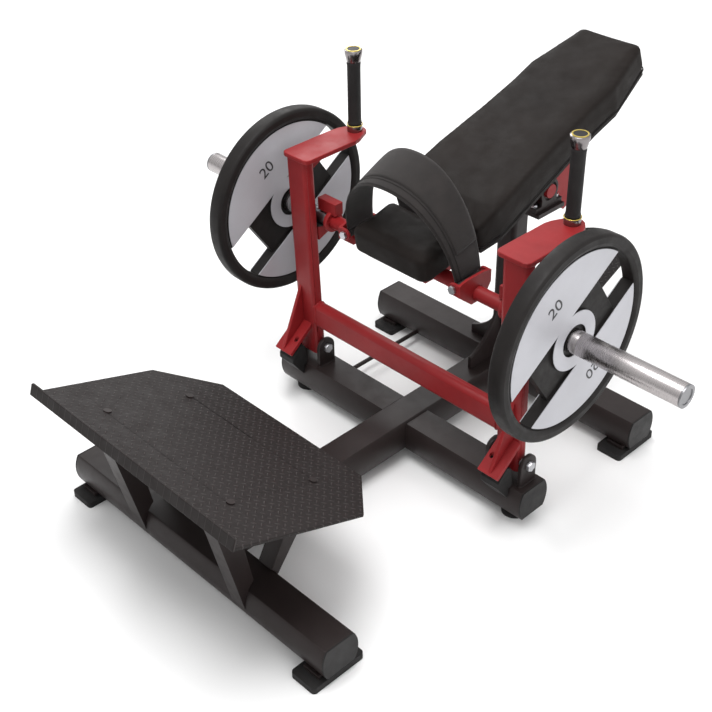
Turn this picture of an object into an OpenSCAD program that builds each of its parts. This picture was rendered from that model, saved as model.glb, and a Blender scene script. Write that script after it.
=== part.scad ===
// Plate-loaded hip thrust machine.
// Units are millimetres. +Z is up, -Y points to the foot plate and
// +X is the user's left-hand side seen from the foot plate.

/* [Overall size] */
// Factor applied to every length below (1.087 gives 50 mm sleeves and 450 mm discs)
size_factor = 1.087; // [0.8:0.001:1.3]

/* [Base frame] */
// Distance from the hinge line to the front cross tube
front_tube_y = -559; // [-650:1:-450]
// Position of the middle cross tube and of the swing hinge line
mid_tube_y = -6; // [-60:1:60]
// Position of the rear cross tube
rear_tube_y = 330; // [250:1:420]
// Overall width of the front and rear cross tubes
base_width = 756; // [600:2:900]
// Overall width of the middle cross tube
mid_width = 714; // [600:2:900]
// Width of the flat-sided oval base tube
tube_w = 86; // [60:1:120]
// Height of the base tubes
tube_h = 68; // [50:1:100]
// Wall thickness of the base tubes
tube_wall = 4; // [2:0.5:8]
// Height of the tube bottoms above the floor
tube_lift = 22; // [15:1:40]

/* [Foot plate] */
// Slope of the foot plate in degrees
foot_slope = 19.4; // [0:0.1:40]
// Height of the rear edge of the foot plate
foot_rear_z = 226; // [150:1:320]
// Position of the rear edge of the foot plate
foot_rear_y = -333; // [-400:1:-250]
// Sheet thickness of the foot plate
foot_t = 6; // [3:0.5:10]

/* [Swing props] */
// Height of the swing hinge above the floor
hinge_z = 135; // [110:1:160]
// Lean of the two posts towards the foot plate in degrees
post_lean = 1.8; // [0:0.1:8]
// Distance of each post from the middle plane
post_x = 292; // [250:1:330]
// Width of the post tube
post_w = 62; // [40:1:80]
// Depth of the post tube
post_d = 28; // [20:1:50]
// Height of the arm plates above the floor
arm_z = 605; // [500:1:700]
// Diameter of the hand grips
grip_d = 29; // [24:1:40]
// Length of the rubber hand grips
grip_len = 140; // [100:1:180]

/* [Load lever] */
// Position of the lever bearing axis
axis_y = 335; // [300:1:380]
// Height of the lever bearing axis
axis_z = 521; // [450:1:600]
// Position of the load bar
bar_y = 20; // [-20:1:60]
// Height of the load bar
bar_z = 450; // [380:1:520]
// Radius of the load bar
bar_r = 15; // [10:0.5:25]
// Radius of the weight sleeves
sleeve_r = 23; // [12:0.5:25]
// Overall width over the two weight sleeves
bar_width = 1276; // [1000:2:1500]
// Slope of the back pad in degrees
back_slope = 20.2; // [0:0.1:45]
// Slope of the seat pad in degrees
seat_slope = 8.7; // [0:0.1:30]

/* [Weight discs] */
// Diameter of a weight disc
disc_d = 414; // [300:1:450]
// Thickness of a weight disc at the rim
disc_t = 36; // [20:1:80]
// Position of the inner face of each weight disc
disc_x = 366; // [340:1:400]
// Angle of the open band across a weight disc
disc_angle = 34; // [0:1:90]

/* [Hidden] */
$fn = 64;
gap = 0.3;
tube_z = tube_lift + tube_h / 2;
tube_top = tube_lift + tube_h;
bulge_r = 63;
cap_t = 3;
spine_h = 72;
spine_z = tube_lift + spine_h / 2;
pad_t = 14;
foot_x = 342;
post_r = 12;
post_top = (arm_z - 10 - hinge_z) / cos(post_lean);
ear_t = 9;
clevis_in = post_x - 47;
clevis_out = post_x + 47;
hinge_bolt_r = 6;
bar_cy = (bar_y - mid_tube_y) * cos(post_lean) + (bar_z - hinge_z) * sin(post_lean);
bar_cz = (bar_z - hinge_z) * cos(post_lean) - (bar_y - mid_tube_y) * sin(post_lean);
saddle_tilt = 12;
sleeve_x0 = 326;
sleeve_x1 = bar_width / 2 - 4;
groove_x = 414;
shaft_r = 15;
pin_x = 149;
pin_z = 474;
disc_r = disc_d / 2;
core_r = 180;
band_h = 57;
hub_r = 62;
grip_x = 288;
grip_y = 134;
shell = 62;
board_t = 14;

// ---- helpers ----

module both() {
  children();
  mirror([1, 0, 0]) children();
}

// a YZ outline extruded along X from x0
module along_x(x0, t) {
  translate([x0, 0, 0]) rotate([90, 0, 90]) linear_extrude(height = t) children();
}

// an XZ outline extruded along Y from y0
module along_y(y0, t) {
  translate([0, y0 + t, 0]) rotate([90, 0, 0]) linear_extrude(height = t) children();
}

module oval(w, h, b) {
  intersection() {
    square([w, h], center = true);
    translate([w / 2 - b, 0]) circle(r = b);
    translate([b - w / 2, 0]) circle(r = b);
  }
}

module oval_ring(w, h, b, t) {
  difference() {
    oval(w, h, b);
    oval(w - 2 * t, h - 2 * t, b - t);
  }
}

// the tube outline grown by the weld gap, without its flat faces
module oval_cut() {
  intersection() {
    translate([tube_w / 2 - bulge_r, 0]) circle(r = bulge_r + gap);
    translate([bulge_r - tube_w / 2, 0]) circle(r = bulge_r + gap);
  }
}

module rounded(w, h, r) {
  square([w - 2 * r, h], center = true);
  square([w, h - 2 * r], center = true);
  for (x = [-1, 1]) {
    for (y = [-1, 1]) {
      translate([x * (w / 2 - r), y * (h / 2 - r)]) circle(r = r);
    }
  }
}

module rounded_ring(w, h, r, t) {
  difference() {
    rounded(w, h, r);
    rounded(w - 2 * t, h - 2 * t, r - t);
  }
}

module transverse(y, x0, x1) {
  along_x(x0, x1 - x0) translate([y, tube_z]) oval_ring(tube_w, tube_h, bulge_r, tube_wall);
}

module transverse_cut(y, x) {
  along_x(-x, 2 * x) translate([y, tube_z]) oval_cut();
}

// frame of the swing props: origin on the hinge line, z along the posts
module prop_frame() {
  translate([0, mid_tube_y, hinge_z]) rotate([post_lean, 0, 0]) children();
}

// frame of the foot plate: top face at z = 0, rear edge at y = 0
module foot_frame() {
  translate([0, foot_rear_y, foot_rear_z]) rotate([-foot_slope, 0, 0]) children();
}

// frame of the back pad: top face at z = 0, y runs towards the head
module back_frame() {
  translate([0, 115, 567]) rotate([back_slope, 0, 0]) children();
}

// frame of the seat pad: top face at z = 0, front edge at y = 0
module seat_frame() {
  translate([0, -69, 526]) rotate([seat_slope, 0, 0]) children();
}

// frame of the rear step: top face at z = 0, y runs to the rear
module step_frame() {
  translate([0, 400, 101.3]) rotate([24.2, 0, 0]) children();
}

module hex_head(r, h) {
  cylinder(r = r, h = h, $fn = 6);
}

// ---- base frame ----

module front_tube() {
  color([0.2, 0.17, 0.17]) scale(size_factor)
  transverse(front_tube_y, cap_t - base_width / 2, base_width / 2 - cap_t);
}

module mid_tubes() {
  color([0.2, 0.17, 0.17]) scale(size_factor)
  both() difference() {
    transverse(mid_tube_y, 25, mid_width / 2 - cap_t);
    along_y(mid_tube_y - 60, 120) translate([0, spine_z]) oval_cut();
  }
}

module rear_tube() {
  color([0.2, 0.17, 0.17]) scale(size_factor)
  transverse(rear_tube_y, cap_t - base_width / 2, base_width / 2 - cap_t);
}

module spine_tube() {
  color([0.2, 0.17, 0.17]) scale(size_factor)
  difference() {
    along_y(front_tube_y + 20, rear_tube_y - front_tube_y - 40)
      translate([0, spine_z]) oval_ring(tube_w, spine_h, bulge_r, tube_wall);
    transverse_cut(front_tube_y, 60);
    transverse_cut(rear_tube_y, 60);
  }
}

module tube_cap(y, x) {
  along_x(x - cap_t, cap_t) translate([y, tube_z]) oval(tube_w, tube_h, bulge_r);
}

module tube_caps() {
  color([0.14, 0.13, 0.13]) scale(size_factor)
  both() {
    tube_cap(front_tube_y, base_width / 2);
    tube_cap(mid_tube_y, mid_width / 2);
    tube_cap(rear_tube_y, base_width / 2);
  }
}

module foot_necks() {
  color([0.2, 0.17, 0.17]) scale(size_factor)
  both() for (y = [front_tube_y, rear_tube_y]) {
    translate([foot_x - 20, y - 40, pad_t]) cube([40, 80, tube_lift - pad_t]);
  }
}

module rubber_feet() {
  color([0.12, 0.12, 0.12]) scale(size_factor)
  both() for (y = [front_tube_y, rear_tube_y]) {
    translate([foot_x, y, 0]) linear_extrude(height = pad_t) rounded(62, 124, 8);
  }
}

module levelling_feet() {
  color([0.14, 0.13, 0.13]) scale(size_factor)
  both() translate([311, mid_tube_y, 0]) rotate_extrude() {
    polygon([[0, 0], [27, 0], [27, 6], [19, 11], [8, 13], [8, tube_lift], [0, tube_lift]]);
  }
}

module foot_outline() {
  polygon([[-202, 0], [202, 0], [307, -102], [295, -390], [-295, -390], [-307, -102]]);
}

module foot_bolt_sites() {
  for (x = [-179, 179]) {
    for (y = [-303, -106]) {
      translate([x, y, 0]) children();
    }
  }
}

module foot_plate() {
  color([0.2, 0.17, 0.17]) scale(size_factor)
  foot_frame() difference() {
    union() {
      translate([0, 0, -foot_t]) linear_extrude(height = foot_t) foot_outline();
      translate([-295, -396, -foot_t]) cube([590, 6, foot_t + 18]);
    }
    foot_bolt_sites() translate([0, 0, -foot_t - 1]) cylinder(r = 5.3, h = foot_t + 2);
  }
}

module strut_flange(y0, y1) {
  foot_frame() difference() {
    translate([126, y0, -foot_t - 5]) cube([72, y1 - y0, 5]);
    foot_bolt_sites() translate([0, 0, -20]) cylinder(r = 5.3, h = 20);
  }
}

module front_struts() {
  color([0.17, 0.15, 0.15]) scale(size_factor)
  both() union() {
    difference() {
      along_x(132, 38) polygon([[-603, 50], [-568, 50], [-612, 313.5], [-664, 332]]);
      transverse_cut(front_tube_y, 200);
    }
    strut_flange(-350, -290);
  }
}

module rear_struts() {
  color([0.17, 0.15, 0.15]) scale(size_factor)
  both() union() {
    difference() {
      along_x(132, 38) polygon([[-562, 50], [-545, 50], [-400, 239], [-450, 256.5]]);
      transverse_cut(front_tube_y, 200);
    }
    strut_flange(-130, -60);
  }
}

module foot_plate_bolts() {
  color([0.5, 0.5, 0.5]) scale(size_factor)
  foot_frame() foot_bolt_sites() {
    cylinder(r = 8, h = 2.5);
    translate([0, 0, -18]) cylinder(r = 5, h = 18.5);
    translate([0, 0, -18]) hex_head(9, 7);
  }
}

module hinge_ears() {
  color([0.16, 0.14, 0.14]) scale(size_factor)
  both() for (x = [clevis_in, clevis_out - ear_t]) {
    along_x(x, ear_t) difference() {
      union() {
        translate([mid_tube_y, hinge_z]) circle(r = 23);
        translate([mid_tube_y - 23, tube_top]) square([46, hinge_z - tube_top]);
      }
      translate([mid_tube_y, hinge_z]) circle(r = hinge_bolt_r + gap);
    }
  }
}

module hinge_bolts() {
  color([0.75, 0.75, 0.76]) scale(size_factor)
  both() translate([clevis_in - 8, mid_tube_y, hinge_z]) rotate([0, 90, 0]) {
    hex_head(11, 8);
    cylinder(r = hinge_bolt_r, h = clevis_out - clevis_in + 16);
    translate([0, 0, clevis_out - clevis_in + 8]) hex_head(11, 8);
  }
}

module bumpers() {
  color([0.08, 0.08, 0.08]) scale(size_factor)
  both() difference() {
    along_x(post_x - 14, 46)
      polygon([[-80, 108], [-80, 121], [-56, 148], [-42, 140], [-33, 91], [-33, 60], [-44, 60]]);
    transverse_cut(mid_tube_y, 400);
    translate([0, mid_tube_y - 40, 0]) cube([400, 80, tube_top + gap]);
  }
}

module upright() {
  color([0.17, 0.15, 0.15]) scale(size_factor)
  translate([0, 325, tube_top]) linear_extrude(height = 472 - tube_top) rounded_ring(50, 50, 10, 3);
}

module upright_gussets() {
  color([0.15, 0.13, 0.13]) scale(size_factor) {
    both() along_y(321, 8) difference() {
      translate([25, tube_top]) square([75, 120]);
      translate([135, tube_top + 130]) circle(r = 115);
    }
    along_x(-4, 8) difference() {
      translate([200, tube_lift + spine_h]) square([100, 150]);
      translate([150, tube_lift + spine_h + 160]) circle(r = 140);
    }
  }
}

module bearing_plate() {
  color([0.13, 0.12, 0.12]) scale(size_factor)
  translate([-92, axis_y - 43, 472]) cube([184, 86, 10]);
}

module bearing_bolt_sites() {
  both() for (y = [-34.5, 34.5]) {
    translate([72, axis_y + y, 482]) children();
  }
}

module pillow_blocks() {
  color([0.13, 0.12, 0.12]) scale(size_factor)
  both() difference() {
    along_x(60, 24) union() {
      translate([axis_y, axis_z]) circle(r = 28);
      polygon([
        [axis_y - 43, 482], [axis_y + 43, 482], [axis_y + 43, 492], [axis_y + 25, 492],
        [axis_y + 24, 515], [axis_y - 24, 515], [axis_y - 25, 492], [axis_y - 43, 492]
      ]);
    }
    translate([50, axis_y, axis_z]) rotate([0, 90, 0]) cylinder(r = shaft_r + 0.05, h = 50);
    translate([80, axis_y, axis_z]) rotate([0, 90, 0]) cylinder(r = 21, h = 10);
  }
}

module bearing_bolts() {
  color([0.3, 0.3, 0.3]) scale(size_factor)
  bearing_bolt_sites() translate([0, 0, 10]) hex_head(7.5, 6);
}

module step_outline() {
  translate([-80, 0]) square([160, 290]);
  intersection() {
    translate([0, 224.6]) circle(r = 113.5);
    translate([-80, 200]) square([160, 140]);
  }
}

module rear_step() {
  color([0.2, 0.17, 0.17]) scale(size_factor)
  step_frame() difference() {
    translate([0, 0, -16]) linear_extrude(height = 16) step_outline();
    translate([-76, -1, -20]) cube([152, 292, 15.5]);
    translate([0, 224.6, -20]) cylinder(r = 105, h = 15.5);
  }
}

module rear_step_arm() {
  color([0.2, 0.17, 0.17]) scale(size_factor)
  difference() {
    along_x(-22, 44) polygon([[355, 40], [355, 75], [380, 87.3], [610, 190.6], [600, 164], [420, 62]]);
    transverse_cut(rear_tube_y, 60);
  }
}

module tie_rod() {
  color([0.1, 0.1, 0.1]) scale(size_factor)
  difference() {
    translate([-250, mid_tube_y + 30, 30]) rotate([-90, 0, 0])
      cylinder(r = 5, h = rear_tube_y - mid_tube_y - 60);
    transverse_cut(mid_tube_y, 400);
    transverse_cut(rear_tube_y, 400);
  }
}

// ---- swing props ----

module post_outline(grow) {
  rounded(post_w + 2 * grow, post_d + 2 * grow, post_r + grow);
}

module posts() {
  color([0.62, 0.13, 0.13]) scale(size_factor)
  both() difference() {
    prop_frame() difference() {
      translate([post_x, 0, -22]) linear_extrude(height = post_top + 30)
        rounded_ring(post_w, post_d, post_r, 3);
      translate([post_x - 40, 0, 0]) rotate([0, 90, 0]) cylinder(r = 9 + gap, h = 80);
    }
    translate([200, -80, arm_z - 10]) cube([200, 120, 40]);
  }
}

module post_bushings() {
  color([0.45, 0.45, 0.45]) scale(size_factor)
  prop_frame() both() translate([clevis_in + ear_t + 1, 0, 0]) rotate([0, 90, 0]) difference() {
    cylinder(r = 9, h = clevis_out - clevis_in - 2 * ear_t - 2);
    translate([0, 0, -1]) cylinder(r = hinge_bolt_r + 0.05, h = 120);
  }
}

module cross_tube() {
  color([0.62, 0.13, 0.13]) scale(size_factor)
  prop_frame() difference() {
    along_x(-275, 550) translate([0, 83]) rounded_ring(post_d, post_w, post_r, 3);
    both() translate([post_x, 0, 0]) linear_extrude(height = 200) post_outline(gap);
  }
}

module stop_plates() {
  color([0.66, 0.14, 0.14]) scale(size_factor)
  prop_frame() both() difference() {
    along_x(post_x - 16, 50) polygon([[-78, 0.5], [-14, 47.9], [-14, 58], [-83, 7]]);
    translate([post_x - 5, -52, 0]) cylinder(r = 5, h = 60);
  }
}

module stop_webs() {
  color([0.62, 0.13, 0.13]) scale(size_factor)
  prop_frame() both() along_x(post_x + 8, 8) polygon([[-80, 9.22], [-14, 58], [-14, 150]]);
}

module arm_outline() {
  polygon([
    [261, -40], [316, -40], [323, -37], [326, -30], [326, 95], [323, 120], [313, 142],
    [304, 153], [296, 157], [280, 157], [272, 153], [254, 116], [250, 100], [250, -29], [253, -37]
  ]);
}

module arm_plates() {
  color([0.72, 0.16, 0.18]) scale(size_factor)
  both() translate([0, 0, arm_z - 10]) linear_extrude(height = 10) arm_outline();
}

module arm_gussets() {
  color([0.62, 0.13, 0.13]) scale(size_factor)
  both() along_x(post_x - 5, 10) polygon([[-4.6, 553], [-5.9, arm_z - 10], [72, arm_z - 10], [72, 588]]);
}

// line just under the roller, sloping down to the rear
function saddle_line(y, off) =
  bar_cz - (bar_r + off) / cos(saddle_tilt) - (y - bar_cy) * tan(saddle_tilt);

module saddles() {
  color([0.62, 0.13, 0.13]) scale(size_factor)
  prop_frame() both() along_x(post_x - 28, 56) polygon([
    [post_d / 2, saddle_line(post_d / 2, 4.5)], [58, saddle_line(58, 4.5)],
    [58, saddle_line(58, 12)], [post_d / 2, saddle_line(post_d / 2, 36)]
  ]);
}

module saddle_pads() {
  color([0.08, 0.08, 0.08]) scale(size_factor)
  prop_frame() both() along_x(post_x - 28, 56) polygon([
    [post_d / 2, saddle_line(post_d / 2, 0.5)], [58, saddle_line(58, 0.5)],
    [58, saddle_line(58, 4.5)], [post_d / 2, saddle_line(post_d / 2, 4.5)]
  ]);
}

module grip_sites() {
  both() translate([grip_x, grip_y, arm_z]) children();
}

module grips() {
  color([0.1, 0.1, 0.1]) scale(size_factor)
  grip_sites() translate([0, 0, 14]) cylinder(d = grip_d, h = grip_len);
}

module grip_caps() {
  color([0.8, 0.8, 0.82]) scale(size_factor)
  grip_sites() translate([0, 0, 14 + grip_len]) rotate_extrude() {
    polygon([[0, 0], [14.5, 0], [18.5, 17], [18.5, 24], [16, 25], [0, 25]]);
  }
}

module grip_rings() {
  color([0.85, 0.75, 0.1]) scale(size_factor)
  grip_sites() translate([0, 0, 39 + grip_len]) difference() {
    cylinder(r = 16, h = 1.5);
    translate([0, 0, -1]) cylinder(r = 13, h = 4);
  }
}

module grip_inserts() {
  color([0.1, 0.1, 0.1]) scale(size_factor)
  grip_sites() translate([0, 0, 39 + grip_len]) cylinder(r = 12.7, h = 1);
}

module grip_collars() {
  color([0.8, 0.8, 0.82]) scale(size_factor)
  grip_sites() cylinder(r = 16.5, h = 14);
}

// ---- load lever ----

module bar_piece(x0, x1, r) {
  translate([x0, bar_y, bar_z]) rotate([0, 90, 0]) cylinder(r = r, h = x1 - x0);
}

module load_bar() {
  color([0.62, 0.13, 0.13]) scale(size_factor)
  bar_piece(-247, 247, bar_r);
}

module rollers() {
  color([0.5, 0.5, 0.51]) scale(size_factor)
  both() bar_piece(247, sleeve_x0, bar_r);
}

module stop_collars() {
  color([0.66, 0.14, 0.14]) scale(size_factor)
  both() difference() {
    union() {
      bar_piece(236, 246, 24);
      translate([224, bar_y - 8, bar_z + 18]) cube([54, 22, 28]);
    }
    bar_piece(200, 300, bar_r + gap);
  }
}

module sleeves() {
  color([0.82, 0.8, 0.8]) scale(size_factor)
  both() {
    difference() {
      bar_piece(sleeve_x0, sleeve_x1, sleeve_r);
      difference() {
        bar_piece(groove_x, groove_x + 2, sleeve_r + 2);
        bar_piece(groove_x - 1, groove_x + 3, sleeve_r - 0.6);
      }
    }
  }
}

module sleeve_caps() {
  color([0.7, 0.68, 0.68]) scale(size_factor)
  both() difference() {
    bar_piece(sleeve_x1, sleeve_x1 + 4, sleeve_r);
    bar_piece(sleeve_x1 + 2.5, sleeve_x1 + 6, sleeve_r - 7);
  }
}

module bracket_ear(y) {
  along_y(y, 6) difference() {
    union() {
      translate([pin_x, pin_z]) circle(r = 13);
      translate([pin_x, pin_z - 13]) square([12, 26]);
    }
    translate([pin_x, pin_z]) circle(r = 5 + gap);
  }
}

module belt_brackets() {
  color([0.66, 0.14, 0.14]) scale(size_factor)
  both() union() {
    difference() {
      along_x(160, 6) polygon([
        [-34, 461], [-34, 487], [-12, 492], [36, 492], [58, 487], [58, 461], [38, 431], [2, 431]
      ]);
      bar_piece(100, 200, bar_r + gap);
    }
    bracket_ear(-34);
    bracket_ear(52);
  }
}

module belt_bolts() {
  color([0.75, 0.75, 0.76]) scale(size_factor)
  both() translate([pin_x, -40.3, pin_z]) rotate([-90, 0, 0]) {
    hex_head(9, 6);
    cylinder(r = 5, h = 102);
    translate([0, 0, 98.6]) hex_head(9, 6);
  }
}

// the arch of the belt: angles in degrees, widths and heights in millimetres
belt_n = 32;
belt_t = 4;
belt_a0 = 3.5;

function arch(v) = pow(abs(v), 0.92);

function belt_x(a, t) = sign(cos(a)) * (145 + t) * arch(cos(a));

// one ring of four corners of the belt, at angle a round the arch
function belt_ring(a) = [
  [belt_x(a, 0), -22 - 42 * arch(sin(a)), 470 + 169 * arch(sin(a))],
  [belt_x(a, 0), 48 - 23 * arch(sin(a)), 470 + 218 * arch(sin(a))],
  [belt_x(a, belt_t), 48 - 23 * arch(sin(a)), 470 + (218 + belt_t) * arch(sin(a))],
  [belt_x(a, belt_t), -22 - 42 * arch(sin(a)), 470 + (169 + belt_t) * arch(sin(a))]
];

function belt_side(i, j, k) = [
  [4 * i + j, 4 * i + k, 4 * i + 4 + k],
  [4 * i + j, 4 * i + 4 + k, 4 * i + 4 + j]
];

module belt_band() {
  polyhedron(
    points = [for (i = [0:belt_n]) each belt_ring(belt_a0 + (180 - 2 * belt_a0) * i / belt_n)],
    faces = concat(
      [[2, 1, 0], [3, 2, 0]],
      [for (i = [0:belt_n - 1]) for (s = [0:3]) each belt_side(i, s, (s + 1) % 4)],
      [[4 * belt_n, 4 * belt_n + 1, 4 * belt_n + 2], [4 * belt_n, 4 * belt_n + 2, 4 * belt_n + 3]]
    )
  );
}

module hip_belt() {
  color([0.12, 0.11, 0.11]) scale(size_factor)
  difference() {
    union() {
      belt_band();
      both() translate([pin_x, -24, pin_z]) rotate([-90, 0, 0]) cylinder(r = 9, h = 72, $fn = 32);
    }
    both() translate([pin_x, -60, pin_z]) rotate([-90, 0, 0]) cylinder(r = 5.5, h = 130, $fn = 32);
  }
}

module lever_shaft() {
  color([0.62, 0.13, 0.13]) scale(size_factor)
  translate([-88, axis_y, axis_z]) rotate([0, 90, 0]) cylinder(r = shaft_r, h = 176);
}

module lever_hub() {
  color([0.62, 0.13, 0.13]) scale(size_factor)
  translate([-58, axis_y, axis_z]) rotate([0, 90, 0]) difference() {
    cylinder(r = 22, h = 116);
    translate([0, 0, -1]) cylinder(r = shaft_r + gap, h = 118);
  }
}

module lever_plates() {
  color([0.62, 0.13, 0.13]) scale(size_factor)
  both() along_x(46, 10) difference() {
    polygon([
      [-10, 436], [-9.6, 467.8], [51, 477], [94.3, 478.2], [516, 633.4], [442, 440], [425, 432],
      [391, 474], [398, 490], [390, 506], [352, 506], [335, 496], [300, 489], [60, 436]
    ]);
    translate([bar_y, bar_z]) circle(r = bar_r + gap);
    translate([axis_y, axis_z]) circle(r = 22 + gap);
  }
}

module lever_ties() {
  color([0.62, 0.13, 0.13]) scale(size_factor)
  for (y = [120, 230, 470]) {
    translate([-46, y - 6, y > 400 ? 540 : 470]) cube([92, 12, 12]);
  }
}

// half of the back pad's outline, moved inwards by inset
function back_half(inset) = [
  [112 - inset, -55 + inset], [125 - inset, 0], [121 - inset, 106], [112 - inset, 244],
  [109 - inset, 331], [111 - inset, 403 - inset / 2], [79 - inset / 2, 543 - inset]
];

module back_outline(inset) {
  polygon(concat(
    back_half(inset),
    [for (i = [6:-1:0]) [-back_half(inset)[i][0], back_half(inset)[i][1]]]
  ));
}

module back_board() {
  color([0.15, 0.14, 0.13]) scale(size_factor)
  back_frame() translate([0, 0, -shell - board_t]) linear_extrude(height = board_t) back_outline(8);
}

module back_pad() {
  color([0.11, 0.1, 0.1]) scale(size_factor)
  back_frame() {
    intersection() {
      translate([0, 0, -shell]) linear_extrude(height = 90) back_outline(0);
      along_x(-130, 260) polygon([
        [-60, -shell], [550, -shell], [550, -7], [400, -2], [250, 2], [100, 8], [0, 5], [-60, -14]
      ]);
    }
    intersection() {
      translate([0, 0, -20]) linear_extrude(height = 60) back_outline(5);
      along_x(-130, 260) polygon([
        [-60, -15], [550, -15], [550, -1], [400, 4], [250, 8], [100, 14], [0, 11], [-60, -8]
      ]);
    }
  }
}

module seat_board() {
  color([0.15, 0.14, 0.13]) scale(size_factor)
  seat_frame() translate([0, 62.5, -66]) linear_extrude(height = 7) rounded(164, 96, 14);
}

module seat_pad() {
  color([0.11, 0.1, 0.1]) scale(size_factor)
  seat_frame() hull() {
    translate([0, 62.5, -51]) linear_extrude(height = 37) rounded(202, 125, 20);
    translate([0, 62.5, -59]) linear_extrude(height = 3) rounded(184, 109, 18);
    translate([0, 62.5, -2]) linear_extrude(height = 2) rounded(178, 103, 18);
  }
}

// ---- weight discs ----

// frame of the right disc: z runs outwards along the sleeve
module disc_frame() {
  translate([disc_x, bar_y, bar_z]) rotate([90, 0, 90]) rotate([0, 0, disc_angle]) children();
}

module disc_core() {
  disc_frame() difference() {
    translate([0, 0, 5]) cylinder(r = core_r, h = disc_t - 10);
    for (z = [0, disc_t - 10]) {
      difference() {
        translate([-200, -band_h, z]) cube([400, 2 * band_h, 10]);
        cylinder(r = hub_r, h = disc_t);
      }
    }
    for (s = [0, 180]) {
      rotate([0, 0, s]) intersection() {
        translate([108, -band_h - 0.4, 0]) cube([90, 2 * band_h + 0.8, disc_t]);
        cylinder(r = core_r + 5, h = disc_t);
      }
    }
    for (z = [0, disc_t - 9]) {
      translate([0, 0, z]) cylinder(r = 33, h = 9);
    }
    cylinder(r = sleeve_r + 0.8, h = disc_t);
  }
}

module disc_rim() {
  disc_frame() rotate_extrude() {
    polygon([
      [core_r + gap, 5], [core_r + 5, 1.5], [core_r + 10, 0], [disc_r - 6, 0], [disc_r - 1.5, 2],
      [disc_r, 7], [disc_r, disc_t - 7], [disc_r - 1.5, disc_t - 2], [disc_r - 6, disc_t],
      [core_r + 10, disc_t], [core_r + 5, disc_t - 1.5], [core_r + gap, disc_t - 5]
    ]);
  }
}

module disc_face_outline() {
  difference() {
    circle(r = core_r - 2);
    translate([-250, -band_h]) square([500, 2 * band_h]);
  }
  circle(r = hub_r - 1);
}

module disc_faces() {
  disc_frame() for (z = [3.5, disc_t - 5]) {
    translate([0, 0, z]) linear_extrude(height = 1.5) difference() {
      disc_face_outline();
      circle(r = 33);
    }
  }
}

module disc_core_right() {
  color([0.14, 0.13, 0.13]) scale(size_factor) disc_core();
}

module disc_rim_right() {
  color([0.11, 0.1, 0.1]) scale(size_factor) disc_rim();
}

module disc_faces_right() {
  color([0.7, 0.7, 0.72]) scale(size_factor) disc_faces();
}

module disc_core_left() {
  color([0.14, 0.13, 0.13]) scale(size_factor) mirror([1, 0, 0]) disc_core();
}

module disc_rim_left() {
  color([0.11, 0.1, 0.1]) scale(size_factor) mirror([1, 0, 0]) disc_rim();
}

module disc_faces_left() {
  color([0.7, 0.7, 0.72]) scale(size_factor) mirror([1, 0, 0]) disc_faces();
}

front_tube();
mid_tubes();
rear_tube();
spine_tube();
tube_caps();
foot_necks();
rubber_feet();
levelling_feet();
foot_plate();
front_struts();
rear_struts();
foot_plate_bolts();
hinge_ears();
hinge_bolts();
bumpers();
upright();
upright_gussets();
bearing_plate();
pillow_blocks();
bearing_bolts();
rear_step();
rear_step_arm();
tie_rod();
posts();
post_bushings();
cross_tube();
stop_plates();
stop_webs();
arm_plates();
arm_gussets();
saddles();
saddle_pads();
grips();
grip_caps();
grip_rings();
grip_inserts();
grip_collars();
load_bar();
rollers();
stop_collars();
sleeves();
sleeve_caps();
belt_brackets();
belt_bolts();
hip_belt();
lever_shaft();
lever_hub();
lever_plates();
lever_ties();
back_board();
back_pad();
seat_board();
seat_pad();
disc_core_right();
disc_rim_right();
disc_faces_right();
disc_core_left();
disc_rim_left();
disc_faces_left();
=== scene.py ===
import bpy, bmesh, math
from mathutils import Vector, Matrix


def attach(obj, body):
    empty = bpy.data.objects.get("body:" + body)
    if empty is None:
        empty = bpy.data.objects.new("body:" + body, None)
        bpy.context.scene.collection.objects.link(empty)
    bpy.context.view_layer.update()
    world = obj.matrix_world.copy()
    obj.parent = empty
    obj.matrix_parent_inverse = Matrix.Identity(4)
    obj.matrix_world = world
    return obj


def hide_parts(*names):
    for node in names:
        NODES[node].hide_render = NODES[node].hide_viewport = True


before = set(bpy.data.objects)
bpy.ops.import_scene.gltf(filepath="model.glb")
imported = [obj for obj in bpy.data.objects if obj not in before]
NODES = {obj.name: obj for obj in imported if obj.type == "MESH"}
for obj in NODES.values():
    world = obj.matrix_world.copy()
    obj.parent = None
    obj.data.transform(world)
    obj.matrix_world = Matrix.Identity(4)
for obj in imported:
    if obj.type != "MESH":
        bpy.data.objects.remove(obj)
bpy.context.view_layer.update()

K = 1.087e-3          # metres in one unit of the CAD drawing
FIT_SCALE = 1.087     # the camera was fitted in drawing units


# ---------------------------------------------------------------- materials

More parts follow.
